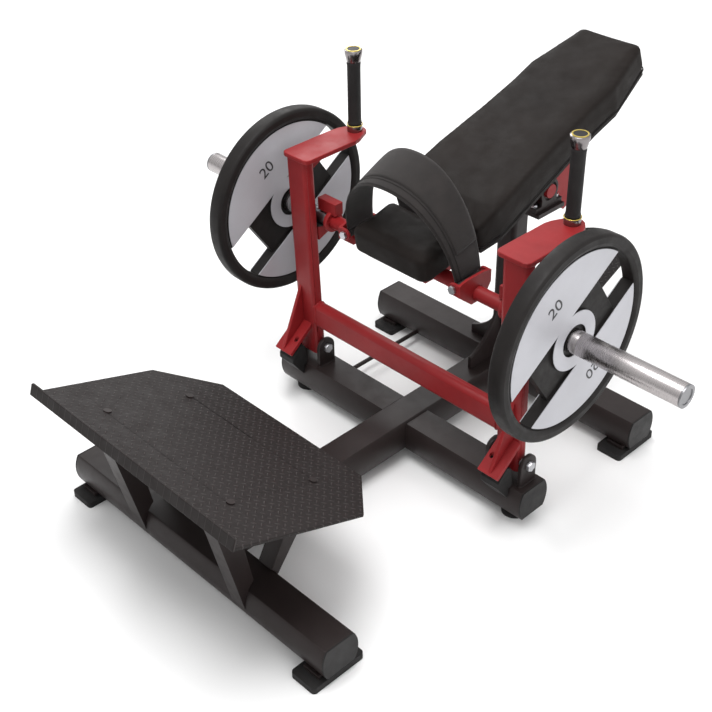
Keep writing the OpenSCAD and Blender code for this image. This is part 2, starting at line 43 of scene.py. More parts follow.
class Mat:
    """A small builder for a procedural material."""

    def __init__(self, name, base, rough=0.5, metallic=0.0, spec=0.5, coat=0.0, coat_rough=0.2):
        self.m = bpy.data.materials.new(name)
        self.m.use_nodes = True
        self.t = self.m.node_tree
        self.b = self.t.nodes["Principled BSDF"]
        self.set("Base Color", (*base, 1))
        self.set("Roughness", rough)
        self.set("Metallic", metallic)
        self.set("Specular IOR Level", spec)
        self.set("Coat Weight", coat)
        self.set("Coat Roughness", coat_rough)
        self.base = base
        self.tc = self.n("ShaderNodeTexCoord")
        self.height = None

    def set(self, key, value):
        self.b.inputs[key].default_value = value

    def n(self, kind, **values):
        node = self.t.nodes.new(kind)
        for k, v in values.items():
            if hasattr(node, k):
                setattr(node, k, v)
            else:
                node.inputs[k.replace("_", " ")].default_value = v
        return node

    def link(self, a, b):
        self.t.links.new(a, b)

    def noise(self, scale, detail=3.0, rough=0.5, stretch=None):
        node = self.n("ShaderNodeTexNoise", Scale=scale, Detail=detail, Roughness=rough)
        src = self.tc.outputs["Object"]
        if stretch:
            mp = self.n("ShaderNodeMapping")
            mp.inputs["Scale"].default_value = stretch
            self.link(src, mp.inputs["Vector"])
            src = mp.outputs["Vector"]
        self.link(src, node.inputs["Vector"])
        return node.outputs["Fac"]

    def ramp(self, fac, stops):
        r = self.n("ShaderNodeValToRGB")
        e = r.color_ramp.elements
        while len(e) < len(stops):
            e.new(0.5)
        for i, (p, c) in enumerate(stops):
            e[i].position = p
            e[i].color = (*c, 1) if len(c) == 3 else c
        self.link(fac, r.inputs["Fac"])
        return r.outputs["Color"]

    def vary(self, fac, lo, hi, socket="Base Color"):
        """Runs a socket from lo to hi times its own value along fac."""
        if socket == "Base Color":
            c0 = [min(1, v * lo) for v in self.base]
            c1 = [min(1, v * hi) for v in self.base]
            self.link(self.ramp(fac, [(0.3, c0), (0.7, c1)]), self.b.inputs[socket])
        else:
            m = self.n("ShaderNodeMapRange")
            m.inputs["From Min"].default_value = 0.3
            m.inputs["From Max"].default_value = 0.7
            m.inputs["To Min"].default_value = lo
            m.inputs["To Max"].default_value = hi
            self.link(fac, m.inputs["Value"])
            self.link(m.outputs["Result"], self.b.inputs[socket])
        return self

    def tint_edges(self, colour, amount=0.6, radius=0.0025, spots=90.0):
        """Tints the edges of a piece towards colour, broken up by a noise; a lighter colour is a painted
        edge highlight, with some rubbed wear.
        """
        bev = self.n("ShaderNodeBevel", samples=4)
        bev.inputs["Radius"].default_value = radius
        geo = self.n("ShaderNodeNewGeometry")
        dot = self.n("ShaderNodeVectorMath", operation="DOT_PRODUCT")
        self.link(bev.outputs["Normal"], dot.inputs[0])
        self.link(geo.outputs["Normal"], dot.inputs[1])
        edge = self.n("ShaderNodeMapRange")
        edge.inputs["From Min"].default_value = 0.985
        edge.inputs["From Max"].default_value = 0.86
        edge.inputs["To Min"].default_value = 0.0
        edge.inputs["To Max"].default_value = amount
        self.link(dot.outputs["Value"], edge.inputs["Value"])
        brk = self.ramp(self.noise(spots, 4.0, 0.6), [(0.42, (0, 0, 0)), (0.66, (1, 1, 1))])
        mul = self.n("ShaderNodeMath", operation="MULTIPLY")
        self.link(edge.outputs["Result"], mul.inputs[0])
        self.link(brk, mul.inputs[1])
        mix = self.n("ShaderNodeMix", data_type="RGBA")
        src = self.b.inputs["Base Color"]
        if src.is_linked:
            self.link(src.links[0].from_socket, mix.inputs[6])
        else:
            mix.inputs[6].default_value = (*self.base, 1)
        mix.inputs[7].default_value = (*colour, 1)
        self.link(mul.outputs["Value"], mix.inputs[0])
        self.link(mix.outputs[2], self.b.inputs["Base Color"])
        return self

    def bump(self, fac, strength=0.2, distance=0.0005):
        bp = self.n("ShaderNodeBump")
        bp.inputs["Strength"].default_value = strength
        bp.inputs["Distance"].default_value = distance
        self.link(fac, bp.inputs["Height"])
        if self.height is not None:
            self.link(self.height, bp.inputs["Normal"])
        self.height = bp.outputs["Normal"]
        self.link(self.height, self.b.inputs["Normal"])
        return self

    def math(self, op, a, b=None):
        node = self.n("ShaderNodeMath", operation=op)
        for i, v in enumerate((a, b)):
            if v is None:
                continue
            if isinstance(v, (int, float)):
                node.inputs[i].default_value = v
            else:
                self.link(v, node.inputs[i])
        return node.outputs["Value"]


def powder(name, base, rough, peel=0.16):
    """Powder coat: orange peel, a slow drift of shade, and edges painted lighter as a highlight with some
    rubbed wear.
    """
    k = Mat(name, base, rough, spec=0.22, coat=0.03, coat_rough=0.4)
    k.vary(k.noise(7.0, 4.0, 0.6), 0.86, 1.16)
    k.vary(k.noise(26.0, 5.0, 0.65), rough * 0.85, rough * 1.2, "Roughness")
    # painted highlight along the edges, with some rubbed wear
    k.tint_edges([min(1, c * 1.9 + 0.03) for c in base], 0.55)
    k.bump(k.noise(420.0, 2.0, 0.5), peel, 0.0004)
    return k.m


def rubber(name, base, rough=0.62, grain=900.0):
    k = Mat(name, base, rough, spec=0.2)
    k.vary(k.noise(14.0, 5.0, 0.65), 0.75, 1.3)
    k.vary(k.noise(40.0, 4.0, 0.6), rough * 0.85, min(1, rough * 1.2), "Roughness")
    # painted highlight along the edges, with some rubbed wear
    k.tint_edges([c * 1.6 + 0.012 for c in base], 0.6, 0.002)
    k.bump(k.noise(grain, 2.0, 0.5), 0.28, 0.0003)
    return k.m


def turned(name, base, rough, axis_stretch, bump=0.12):
    """Plated or turned steel with fine rings and faint wipe marks."""
    k = Mat(name, base, rough, metallic=1.0, spec=0.5)
    k.vary(k.noise(60.0, 3.0, 0.5, stretch=axis_stretch), rough * 0.92, rough * 1.1, "Roughness")
    k.vary(k.noise(9.0, 4.0, 0.6), 0.9, 1.06)
    k.bump(k.noise(240.0, 2.0, 0.5, stretch=axis_stretch), bump, 0.00005)
    return k.m


def leather(name, base, rough=0.5):
    k = Mat(name, base, rough, spec=0.12)
    k.vary(k.noise(5.0, 4.0, 0.6), 0.82, 1.22)
    k.vary(k.noise(22.0, 5.0, 0.6), rough * 0.88, rough * 1.18, "Roughness")
    cell = k.n("ShaderNodeTexVoronoi", feature="DISTANCE_TO_EDGE", Scale=620.0)
    k.link(k.tc.outputs["Object"], cell.inputs["Vector"])
    groove = k.ramp(cell.outputs["Distance"], [(0.0, (0, 0, 0)), (0.16, (1, 1, 1))])
    k.bump(groove, 0.35, 0.0003)
    k.bump(k.noise(55.0, 4.0, 0.6), 0.12, 0.0006)
    k.b.inputs["Sheen Weight"].default_value = 0.02
    k.b.inputs["Sheen Roughness"].default_value = 0.5
    return k.m


def weave(name, base, rough=0.75):
    """Tight ballistic webbing: crossed ribs a millimetre apart with stray lighter threads."""
    k = Mat(name, base, rough, spec=0.3)
    w = []
    for axis in ("X", "Y"):
        node = k.n("ShaderNodeTexWave", wave_type="BANDS", bands_direction=axis,
                   Scale=330.0, Distortion=0.6)
        node.inputs["Detail"].default_value = 1.0
        k.link(k.tc.outputs["UV"], node.inputs["Vector"])
        w.append(node.outputs["Fac"])
    k.bump(k.math("MAXIMUM", w[0], w[1]), 0.45, 0.0005)
    k.vary(k.noise(30.0, 5.0, 0.7), 0.78, 1.35)
    k.b.inputs["Sheen Weight"].default_value = 0.12
    return k.m


def tread(name, base, slope, pitch=13.0):
    """Powder-coated tread sheet: short raised bars in a basket pattern on the upper face, with painted
    highlight on the bars and painted shade between them.
    """
    k = Mat(name, base, 0.55, spec=0.18)
    mp = k.n("ShaderNodeMapping", vector_type="POINT")
    mp.inputs["Rotation"].default_value = (-math.radians(slope), 0, 0)
    k.link(k.tc.outputs["Object"], mp.inputs["Vector"])
    s = 1.0 / (pitch * K)
    sep = k.n("ShaderNodeSeparateXYZ")
    k.link(mp.outputs["Vector"], sep.inputs["Vector"])
    r2 = math.sqrt(0.5)
    u = k.math("MULTIPLY", k.math("ADD", sep.outputs["X"], sep.outputs["Y"]), r2 * s)
    v = k.math("MULTIPLY", k.math("SUBTRACT", sep.outputs["X"], sep.outputs["Y"]), r2 * s)
    fu, fv = k.math("FRACT", u), k.math("FRACT", v)
    square = k.math("ADD", k.math("FLOOR", u), k.math("FLOOR", v))
    cell = k.math("FRACT", k.math("MULTIPLY", square, 0.5))
    flip = k.math("GREATER_THAN", cell, 0.25)

    def bar(a, b):
        la = k.math("ABSOLUTE", k.math("SUBTRACT", a, 0.5))
        lb = k.math("ABSOLUTE", k.math("SUBTRACT", b, 0.5))
        along = k.math("POWER", k.math("MULTIPLY", la, 2.2), 2.0)
        across = k.math("POWER", k.math("MULTIPLY", lb, 7.0), 2.0)
        return k.math("MAXIMUM", k.math("SUBTRACT", 1.0, k.math("ADD", along, across)), 0.0)

    mix = k.n("ShaderNodeMix", data_type="FLOAT")
    k.link(flip, mix.inputs[0])
    k.link(bar(fu, fv), mix.inputs[2])
    k.link(bar(fv, fu), mix.inputs[3])
    h = mix.outputs[0]
    # painted light: the raised bars are coloured lighter (painted highlight on their tops) and the sheet
    # between them darker (painted shade in the grooves)
    low = [c * 0.8 for c in base]
    high = [c * 1.7 + 0.01 for c in base]
    k.link(k.ramp(h, [(0.0, low), (0.9, high)]), k.b.inputs["Base Color"])
    k.vary(k.noise(30.0, 5.0, 0.6), 0.42, 0.62, "Roughness")
    k.bump(h, 0.85, 0.0016)
    k.bump(k.noise(500.0, 2.0, 0.5), 0.15, 0.0003)
    return k.m


FRAME_C = (0.019, 0.0135, 0.013)
RED_C = (0.235, 0.012, 0.014)
M = {
    "frame": powder("frame_powder_coat", FRAME_C, 0.42),
    "red": powder("red_powder_coat", RED_C, 0.46),
    "chrome": turned("satin_chrome", (0.46, 0.43, 0.43), 0.27, (9.0, 0.05, 0.05), 0.04),
    "chrome_up": turned("satin_chrome_grip", (0.27, 0.25, 0.25), 0.24, (0.05, 0.05, 9.0), 0.04),
    "zinc": turned("zinc_plate", (0.52, 0.52, 0.54), 0.36, (3.0, 3.0, 3.0)),
    "roller": turned("turned_roller", (0.27, 0.27, 0.28), 0.34, (12.0, 0.05, 0.05)),
    "rubber": rubber("moulded_rubber", (0.016, 0.015, 0.015)),
    "tyre": rubber("disc_rim_rubber", (0.0105, 0.0088, 0.0084), 0.52, 700.0),
    "cast": rubber("disc_casting", (0.0105, 0.009, 0.0086), 0.55, 380.0),
    "plastic": rubber("moulded_plastic", (0.014, 0.013, 0.013), 0.45, 1200.0),
    "leather": leather("upholstery", (0.0098, 0.0072, 0.0062), 0.6),
    "piping": leather("upholstery_piping", (0.009, 0.0072, 0.0066), 0.55),
    "board": rubber("coated_board", (0.014, 0.012, 0.011), 0.6, 500.0),
    "belt": weave("belt_face", (0.0135, 0.0105, 0.0098)),
    "foot_tread": tread("foot_plate_tread", (0.0165, 0.0125, 0.012), -19.4),
    "step_tread": tread("rear_step_tread", (0.017, 0.0135, 0.0135), 24.2, 11.0),
}

silver = Mat("disc_silver_lacquer", (0.47, 0.47, 0.5), 0.42, metallic=0.25, spec=0.5)
silver.vary(silver.noise(6.0, 4.0, 0.6), 0.93, 1.06)
silver.vary(silver.noise(1200.0, 2.0, 0.5), 0.36, 0.52, "Roughness")
silver.bump(silver.noise(800.0, 2.0, 0.5), 0.1, 0.0002)
silver.tint_edges((0.25, 0.25, 0.26), 0.7, 0.0015)
M["silver"] = silver.m
ink = Mat("disc_numerals", (0.02, 0.02, 0.022), 0.5)
ink.vary(ink.noise(200.0, 3.0, 0.6), 0.8, 1.4)
ink.bump(ink.noise(900.0, 2.0, 0.5), 0.1, 0.0001)
M["ink"] = ink.m
gold = Mat("grip_ring_yellow", (0.55, 0.42, 0.09), 0.26, metallic=0.7)
gold.vary(gold.noise(80.0, 3.0, 0.6), 0.9, 1.1)
gold.bump(gold.noise(600.0, 2.0, 0.5), 0.08, 0.0001)
M["gold"] = gold.m

# knurled hand grip: a diamond pattern round the stem
kn = Mat("grip_rubber", (0.011, 0.010, 0.010), 0.6, spec=0.35)
KNURL_TURNS = 2 * math.pi * 26     # 26 ribs each way round the stem
wrap = kn.n("ShaderNodeSeparateXYZ")
kn.link(kn.tc.outputs["UV"], wrap.inputs["Vector"])
ribs = []
for op in ("ADD", "SUBTRACT"):
    lean = kn.math(op, wrap.outputs["X"], wrap.outputs["Y"])
    ribs.append(kn.math("SINE", kn.math("MULTIPLY", lean, KNURL_TURNS)))
kn.bump(kn.math("MULTIPLY", ribs[0], ribs[1]), 0.7, 0.0008)
kn.vary(kn.noise(40.0, 4.0, 0.6), 0.7, 1.4)
M["grip"] = kn.m


# ---------------------------------------------------------------- CAD nodes

LOOK = {
    "frame": ["front_tube", "mid_tubes", "rear_tube", "spine_tube", "foot_necks",
              "front_struts", "rear_struts", "hinge_ears", "upright", "upright_gussets",
              "bearing_plate", "pillow_blocks", "rear_step_arm", "tie_rod", "foot_plate_bolts"],
    "foot_tread": ["foot_plate"],
    "step_tread": ["rear_step"],
    "red": ["posts", "cross_tube", "stop_plates", "stop_webs", "arm_plates", "arm_gussets",
            "saddles", "load_bar", "stop_collars", "belt_brackets", "lever_shaft",
            "lever_hub", "lever_plates", "lever_ties"],
    "chrome": ["sleeves"],
    "chrome_up": ["grip_caps", "grip_collars"],
    "zinc": ["hinge_bolts", "bearing_bolts", "belt_bolts", "post_bushings"],
    "roller": ["rollers", "sleeve_caps"],
    "gold": ["grip_rings"],
    "plastic": ["tube_caps", "levelling_feet", "grip_inserts"],
    "rubber": ["rubber_feet", "bumpers", "saddle_pads"],
    "tyre": ["disc_rim_right", "disc_rim_left"],
    "cast": ["disc_core_right", "disc_core_left"],
    "silver": ["disc_faces_right", "disc_faces_left"],
    "board": ["back_board", "seat_board"],
}
# how far each piece's edges are rounded, in millimetres
SHARP = {
    "foot_plate_bolts": 0.6, "hinge_bolts": 0.8, "bearing_bolts": 0.6, "belt_bolts": 0.6,
    "grip_rings": 0.3, "grip_inserts": 0.3, "disc_faces_right": 0.5, "disc_faces_left": 0.5,
    "sleeves": 0.8, "sleeve_caps": 0.6, "rollers": 0.5, "grip_caps": 1.2, "grip_collars": 1.0,
    "rubber_feet": 2.5, "tube_caps": 1.2, "disc_rim_right": 2.5, "disc_rim_left": 2.5,
    "disc_core_right": 2.0, "disc_core_left": 2.0, "foot_plate": 1.5, "rear_step": 2.5,
    "arm_plates": 2.0, "stop_plates": 1.5, "saddle_pads": 0.5, "bumpers": 2.0, "pillow_blocks": 1.2,
    "lever_shaft": 1.0, "load_bar": 0.5,
}


USUAL_ROUND = 1.5     # millimetres, for the pieces that SHARP doesn't name
SHARP_ANGLE = 32      # degrees; flatter edges aren't rounded


def soften(obj, width):
    """Rounds the sharp edges of a piece by a small radius."""
    w = obj.modifiers.new("weld", "WELD")
    w.merge_threshold = 0.00002
    b = obj.modifiers.new("round", "BEVEL")
    b.width = width / 1000.0
    b.segments = 2
    b.limit_method = "ANGLE"
    b.angle_limit = math.radians(SHARP_ANGLE)
    b.use_clamp_overlap = True
    b.harden_normals = False


for look, names in LOOK.items():
    for name in names:
        o = NODES[name]
        for s in o.material_slots:
            s.material = M[look]
        if not o.material_slots:
            o.data.materials.append(M[look])
        soften(o, SHARP.get(name, USUAL_ROUND))


# ---------------------------------------------------------------- helpers

def new_object(name, mesh, look, body):
    o = bpy.data.objects.new(name, mesh)
    bpy.context.scene.collection.objects.link(o)
    o.data.materials.append(M[look])
    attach(o, body)
    return o


def shade(o):
    for p in o.data.polygons:
        p.use_smooth = True


def local_frame(origin, slope):
    """The frame of a sloping pad: origin in drawing units, slope in degrees."""
    return Matrix.Translation(Vector(origin) * K) @ Matrix.Rotation(math.radians(slope), 4, "X")


def rounded_loop(points, radii, steps=6):
    """An outline with its corners rounded, as a list of points."""
    out = []
    n = len(points)
    for i, p in enumerate(points):
        a, c = Vector(points[i - 1]), Vector(points[(i + 1) % n])
        p = Vector(p)
        u, v = (a - p).normalized(), (c - p).normalized()
        half = math.acos(max(-1, min(1, u.dot(v)))) / 2
        d = radii[i] / math.tan(half)
        centre = p + (u + v).normalized() * (radii[i] / math.sin(half))
        s, e = p + u * d - centre, p + v * d - centre
        turn = s.angle_signed(e)
        for k in range(steps + 1):
            t = -turn * k / steps
            x = s.x * math.cos(t) - s.y * math.sin(t)
            y = s.x * math.sin(t) + s.y * math.cos(t)
            out.append(centre + Vector((x, y)))
    return out


def offset_loop(loop, d):
    """The outline moved inwards by d along its own normals."""
    n = len(loop)
    out = []
    for i in range(n):
        t = (loop[(i + 1) % n] - loop[i - 1]).normalized()
        out.append(loop[i] + Vector((-t.y, t.x)) * d)
    return out


def loft(rings, transform):
    """A closed skin through rings of equal length; each ring is a list of (x, y, z)."""
    bm = bmesh.new()
    rows = [[bm.verts.new(transform @ (Vector(p) * K)) for p in ring] for ring in rings]
    n = len(rows[0])
    for a, b in zip(rows, rows[1:]):
        for i in range(n):
            bm.faces.new((a[i], a[(i + 1) % n], b[(i + 1) % n], b[i]))
    bm.faces.new(list(reversed(rows[0])))
    bm.faces.new(rows[-1])
    bmesh.ops.recalc_face_normals(bm, faces=bm.faces)
    me = bpy.data.meshes.new("loft")
    bm.to_mesh(me)
    bm.free()
    return me


VOXEL = 0.0055        # metres, the grid that a pad is remeshed to


def cushion(name, outline, radii, depth, transform, node, body, cap, edge=8.0, rise=None):
    """An upholstered pad: a crowned top with a soft border, blown up as cloth over foam.

    Returns the pad's outline."""
    loop = rounded_loop(outline, radii)
    area = sum(loop[i - 1].x * loop[i].y - loop[i].x * loop[i - 1].y for i in range(len(loop)))
    if area < 0:
        loop.reverse()
    rings = []
    bot = -depth
    profile = [(5.0, bot + 0.5), (2.0, bot + 3.0), (1.0, bot + 9.0), (1.0, -edge - 2.0)]
    for k in range(1, 7):
        a = math.radians(15 * k)
        profile.append((1.0 + edge * (1 - math.cos(a)), -edge - 2 + edge * math.sin(a)))

    def lift(y, z):
        return z + (rise(y) * (z + depth) / depth if rise else 0.0)

    for inset, z in profile:
        rings.append([(p.x, p.y, lift(p.y, z)) for p in offset_loop(loop, inset)])
    me = loft(rings, transform)
    o = new_object(name, me, "leather", body)
    bpy.context.view_layer.objects.active = o
    rm = o.modifiers.new("grid", "REMESH")
    rm.mode = "VOXEL"
    rm.voxel_size = VOXEL
    bake(o)
    puff(o, cap * K, transform, depth)
    sm = o.modifiers.new("even", "SMOOTH")
    sm.factor = 0.5
    sm.iterations = 2
    sub = o.modifiers.new("fine", "SUBSURF")
    sub.levels = sub.render_levels = 1
    bake(o)
    shade(o)
    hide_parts(node)
    return loop


def bake(o):
    """Applies every modifier of a piece to its mesh."""
    dg = bpy.context.evaluated_depsgraph_get()
    me = bpy.data.meshes.new_from_object(o.evaluated_get(dg))
    o.modifiers.clear()
    old = o.data
    o.data = me
    bpy.data.meshes.remove(old)


SIDE_PUFF = 0.25      # how much of the swelling the sides of a pad keep
SIDE_FADE = 0.02      # metres above the held part over which the swelling sets in
PUFF_FRAMES = 18      # frames the cloth runs for


def puff(o, cap, transform, depth):
    """Blows the pad up as cloth under pressure, holding its underside, and caps how far it moves."""
    rest = [v.co.copy() for v in o.data.vertices]
    inv = transform.inverted()
    low = (-depth + 8) * K
    g = o.vertex_groups.new(name="hold")
    g.add([v.index for v in o.data.vertices if (inv @ v.co).z < low], 1.0, "REPLACE")
    cl = o.modifiers.new("foam", "CLOTH")
    s = cl.settings
    s.quality = 6
    s.mass = 0.3
    s.use_pressure = True
    s.uniform_pressure_force = 4.0
    s.vertex_group_mass = "hold"
    s.tension_stiffness = s.compression_stiffness = 15
    s.shear_stiffness = 6
    s.bending_stiffness = 2.0
    s.effector_weights.gravity = 0.0
    sc = bpy.context.scene
    sc.frame_start, sc.frame_end = 1, PUFF_FRAMES
    cl.point_cache.frame_start, cl.point_cache.frame_end = 1, PUFF_FRAMES
    for f in range(1, PUFF_FRAMES + 1):
        sc.frame_set(f)
    bake(o)
    sc.frame_set(1)
    o.vertex_groups.clear()
    for v, r in zip(o.data.vertices, rest):
        d = v.co - r
        if d.length > cap:
            v.co = r + d.normalized() * cap
        q = inv @ v.co
        side = max(0.0, min(1.0, (q.z - low) / SIDE_FADE))
        q0 = inv @ r
        q.x = q0.x + (q.x - q0.x) * SIDE_PUFF * side
        q.y = q0.y + (q.y - q0.y) * SIDE_PUFF * side
        q.z = q0.z + (q.z - q0.z) * side
        v.co = transform @ q


def tube_along(name, points, radius, look, body, closed=True):
    """A thin round cord that follows points, used for piping, seams and weld beads."""
    cu = bpy.data.curves.new(name, "CURVE")
    cu.dimensions = "3D"
    sp = cu.splines.new("POLY")
    sp.points.add(len(points) - 1)
    for q, p in zip(sp.points, points):
        q.co = (*p, 1)
    sp.use_cyclic_u = closed
    cu.bevel_depth = radius
    cu.bevel_resolution = 2
    tmp = bpy.data.objects.new(name + "_curve", cu)
    bpy.context.scene.collection.objects.link(tmp)
    bpy.context.view_layer.update()
    me = bpy.data.meshes.new_from_object(tmp.evaluated_get(bpy.context.evaluated_depsgraph_get()))
    bpy.data.objects.remove(tmp)
    shade(new_object(name, me, look, body))


# ---------------------------------------------------------------- pads

BACK = local_frame((0, 115, 567), 20.2)
SEAT = local_frame((0, -69, 526), 8.7)


def back_rise(y):
    """The back pad is thicker at its low end."""
    stops = [(-60, -6), (0, 12), (100, 14), (250, 9), (400, 5), (550, 2)]
    for (a, za), (b, zb) in zip(stops, stops[1:]):
        if y <= b:
            return za + (zb - za) * max(0.0, y - a) / (b - a)
    return stops[-1][1]


BACK_HALF = [(112, -53), (125, 1), (120, 106), (111, 244), (108, 331), (110, 402), (79, 542)]
BACK_SHAPE = BACK_HALF + [(-x, y) for x, y in reversed(BACK_HALF)]
BACK_RADII = [14, 20, 60, 60, 60, 40, 18]
BACK_DEPTH = 60
back_loop = cushion("back_cushion", BACK_SHAPE, BACK_RADII + BACK_RADII[::-1], BACK_DEPTH, BACK,
                    "back_pad", "lever", cap=3.0, rise=back_rise)
SEAT_SHAPE = [(-100, 1), (100, 1), (100, 124), (-100, 124)]
SEAT_DEPTH = 58
cushion("seat_cushion", SEAT_SHAPE, [19, 19, 14, 14], SEAT_DEPTH, SEAT,
        "seat_pad", "lever", cap=4.0, edge=11.0)

hem = [BACK @ (Vector((p.x, p.y, -BACK_DEPTH)) * K) for p in offset_loop(back_loop, 1.8)]
tube_along("back_hem", hem, 1.5 * K, "piping", "lever")

# ---------------------------------------------------------------- hip belt

BELT_A0 = math.radians(3.5)   # where the band starts, round the arch
BELT_X, BELT_Z = 145, 470     # half width of the arch, and the height of its ends
PIN_X, PIN_Z = 149, 474       # centre of the bolt that each end is sewn round


def arch(v):
    """The belt's arch is a little squarer than an ellipse."""
    return abs(v) ** 0.92


def belt_point(a, s, t):
    """A point on the belt: a is the angle round the arch, s runs from the front edge (0)
    to the rear edge (1), t is the distance outwards."""
    c, h = math.copysign(arch(math.cos(a)), math.cos(a)), arch(math.sin(a))
    front = Vector((BELT_X * c, -22 - 42 * h, BELT_Z + 169 * h))
    rear = Vector((BELT_X * c, 48 - 23 * h, BELT_Z + 218 * h))
    out = Vector((math.cos(a), -0.5 * math.sin(a), 0.87 * math.sin(a)))
    out.normalize()
    return (front.lerp(rear, s) + out * t) * K


def belt_mesh(a0, a1, s0, s1, lift, thick, puffed, na, ns):
    """A padded band over part of the belt: angles a0 to a1 and widths s0 to s1, in na by ns cells."""
    bm = bmesh.new()
    grid = {}
    for side in (0, 1):
        for i in range(na + 1):
            a = a0 + (a1 - a0) * i / na
            for j in range(ns + 1):
                s = j / ns
                e = min(s, 1 - s) * ns
                round_ = 1 - 0.55 * math.exp(-e * 1.1)
                body = thick * 0.5 * round_ + puffed * math.sin(math.pi * s) ** 0.6 * 0.5
                t = lift + thick * 0.5 + (body if side else -body * 0.9)
                grid[side, i, j] = bm.verts.new(belt_point(a, s0 + (s1 - s0) * s, t))
    uv = bm.loops.layers.uv.new("flat")

    def face(keys):
        f = bm.faces.new([grid[k] for k in keys])
        for l, k in zip(f.loops, keys):
            l[uv].uv = (k[1] * 0.0064, k[2] * 0.0064)

    for i in range(na):
        for j in range(ns):
            face([(1, i, j), (1, i + 1, j), (1, i + 1, j + 1), (1, i, j + 1)])
            face([(0, i, j), (0, i, j + 1), (0, i + 1, j + 1), (0, i + 1, j)])
        face([(0, i, 0), (0, i + 1, 0), (1, i + 1, 0), (1, i, 0)])
        face([(0, i, ns), (1, i, ns), (1, i + 1, ns), (0, i + 1, ns)])
    for i in (0, na):
        for j in range(ns):
            face([(0, i, j), (1, i, j), (1, i, j + 1), (0, i, j + 1)])
    bmesh.ops.recalc_face_normals(bm, faces=bm.faces)
    me = bpy.data.meshes.new("belt")
    bm.to_mesh(me)
    bm.free()
    return me


pad_mesh = belt_mesh(BELT_A0, math.pi - BELT_A0, 0.0, 1.0, lift=0.0, thick=4.0, puffed=1.2, na=90, ns=14)
belt = new_object("hip_belt_pad", pad_mesh, "belt", "lever")
shade(belt)
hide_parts("hip_belt")
cover_mesh = belt_mesh(0.35, 2.42, 0.24, 0.99, lift=4.0, thick=1.8, puffed=1.0, na=60, ns=12)
cover = new_object("hip_belt_cover", cover_mesh, "belt", "lever")
shade(cover)
STITCH_STEPS = 110
for i, s in enumerate((0.05, 0.19, 0.95)):
    line = [belt_point(BELT_A0 + (math.pi - 2 * BELT_A0) * k / STITCH_STEPS, s, 4.9)
            for k in range(STITCH_STEPS + 1)]
    tube_along("belt_stitch_%d" % i, line, 0.45 * K, "piping", "lever", closed=False)


def belt_eye(name, side):
    """The end of the belt sewn round its bolt: a thick loop with a hole along Y."""
    bm = bmesh.new()
    n = 40
    rows = []
    for y, r in ((-23, 5.8), (-23, 8.2), (-21.5, 8.9), (45.5, 8.9), (47, 8.2), (47, 5.8)):
        row = []
        for i in range(n):
            a = 2 * math.pi * i / n
            place = Vector((side * PIN_X + r * math.cos(a), y, PIN_Z + r * math.sin(a)))
            row.append(bm.verts.new(place * K))
        rows.append(row)
    for a, b in zip(rows, rows[1:] + rows[:1]):
        for i in range(n):
            bm.faces.new((a[i], a[(i + 1) % n], b[(i + 1) % n], b[i]))
    bmesh.ops.recalc_face_normals(bm, faces=bm.faces)
    me = bpy.data.meshes.new(name)
    bm.to_mesh(me)
    bm.free()
    shade(new_object(name, me, "belt", "lever"))


belt_eye("hip_belt_eye_right", 1)
belt_eye("hip_belt_eye_left", -1)

# ---------------------------------------------------------------- hand grips

GRIP_X, GRIP_Y, GRIP_Z = 288, 134, 619     # foot of the right sleeve
TRIM_R = 16.4


def grip_sleeve(name, cx):
    """The rubber sleeve with soft ends and a collar bead; its knurl is in the material."""
    prof = [(12.0, 0.0), (14.2, 1.2), (15.0, 3.5), (15.0, 6.0), (14.2, 8.0), (14.0, 10.0)]
    prof += [(14.0, 10.0 + 12.2 * k) for k in range(1, 10)]
    prof += [(14.2, 132.0), (14.7, 134.0), (14.7, 137.0), (14.2, 139.0), (12.0, 139.9)]
    bm = bmesh.new()
    uv = bm.loops.layers.uv.new("wrap")
    n = 48
    rows = []
    for r, z in prof:
        row = []
        for i in range(n):
            a = 2 * math.pi * i / n
            place = Vector((cx + r * math.cos(a), GRIP_Y + r * math.sin(a), GRIP_Z + z))
            row.append(bm.verts.new(place * K))
        rows.append(row)
    for k in range(len(rows) - 1):
        for i in range(n):
            f = bm.faces.new((rows[k][i], rows[k][(i + 1) % n], rows[k + 1][(i + 1) % n], rows[k + 1][i]))
            for l, (a, b) in zip(f.loops, ((i, k), (i + 1, k), (i + 1, k + 1), (i, k + 1))):
                l[uv].uv = (a / n, prof[b][1] / 88.0)
    bm.faces.new(list(reversed(rows[0])))
    bm.faces.new(rows[-1])
    bmesh.ops.recalc_face_normals(bm, faces=bm.faces)
    me = bpy.data.meshes.new(name)
    bm.to_mesh(me)
    bm.free()
    o = new_object(name, me, "grip", "props")
    shade(o)
    return o


for side, cx in (("right", GRIP_X), ("left", -GRIP_X)):
    g = grip_sleeve("grip_sleeve_" + side, cx)
    if side == "right":
        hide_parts("grips")
    ring = []
    for k in range(48):
        a = 2 * math.pi * k / 48
        ring.append(Vector((cx + TRIM_R * math.cos(a), GRIP_Y + TRIM_R * math.sin(a), GRIP_Z)) * K)
    tube_along("grip_trim_" + side, ring, 1.1 * K, "gold", "props")

# ---------------------------------------------------------------- weld beads

def rect_ring(x0, x1, y0, y1, z, r):
    """A level rectangle with rounded corners, for a weld bead to follow."""
    steps = 5
    corners = ((x1 - r, y1 - r, 0), (x0 + r, y1 - r, 90), (x0 + r, y0 + r, 180), (x1 - r, y0 + r, 270))
    pts = []
    for cx, cy, a0 in corners:
        for k in range(steps + 1):
            a = math.radians(a0 + 90 * k / steps)
            pts.append(Vector((cx + r * math.cos(a), cy + r * math.sin(a), z)) * K)
    return pts


